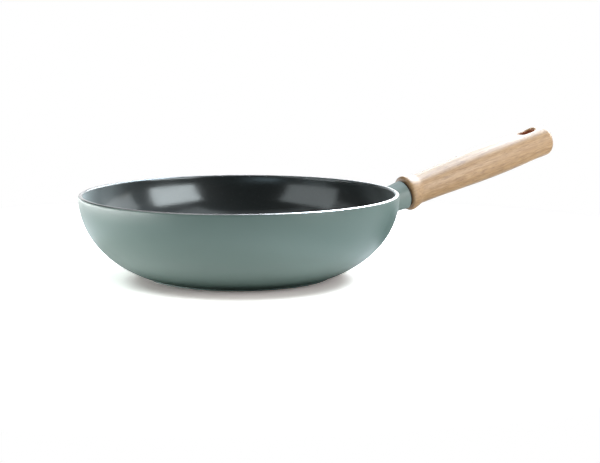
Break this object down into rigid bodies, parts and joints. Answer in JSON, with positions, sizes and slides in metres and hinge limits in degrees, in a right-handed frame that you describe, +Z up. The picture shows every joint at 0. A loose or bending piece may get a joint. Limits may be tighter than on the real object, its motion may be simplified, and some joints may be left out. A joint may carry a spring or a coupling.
{
  "type": "wok",
  "caption": "Flat-foot wok with a thick rounded lip, a short painted neck and a rising round wooden grip that ends in a hanging slot.",
  "frame": {"origin": "middle of the foot, on the surface that the wok stands on", "axes": "+X towards the grip's tail, +Y to the left of someone who looks along the grip from the bowl, +Z up"},
  "size_m": [0.5039, 0.288, 0.1202],
  "materials": {
    "forged_aluminium_sage": "forged aluminium, satin sage paint outside, dark speckled ceramic coat inside, bare lip",
    "neck_aluminium_sage": "cast aluminium with the bowl's satin sage paint",
    "cast_aluminium": "plain casting",
    "plate_steel": "magnetic stainless sheet, turned finish",
    "screw_steel": "zinc-plated steel",
    "brass": "turned brass",
    "beech": "oiled beech, grain along the grip",
    "silicone": "matt dark silicone"
  },
  "bodies": {
    "root": {"wok_body": "forged_aluminium_sage", "induction_plate": "plate_steel", "handle_bracket": "cast_aluminium", "thread_insert": "brass", "neck_sleeve": "neck_aluminium_sage", "neck_gasket": "silicone", "wooden_grip": "beech", "long_screw": "screw_steel", "screw_flat_washer": "screw_steel", "screw_spring_washer": "screw_steel", "tail_plug": "beech"}
  },
  "joints": []
}
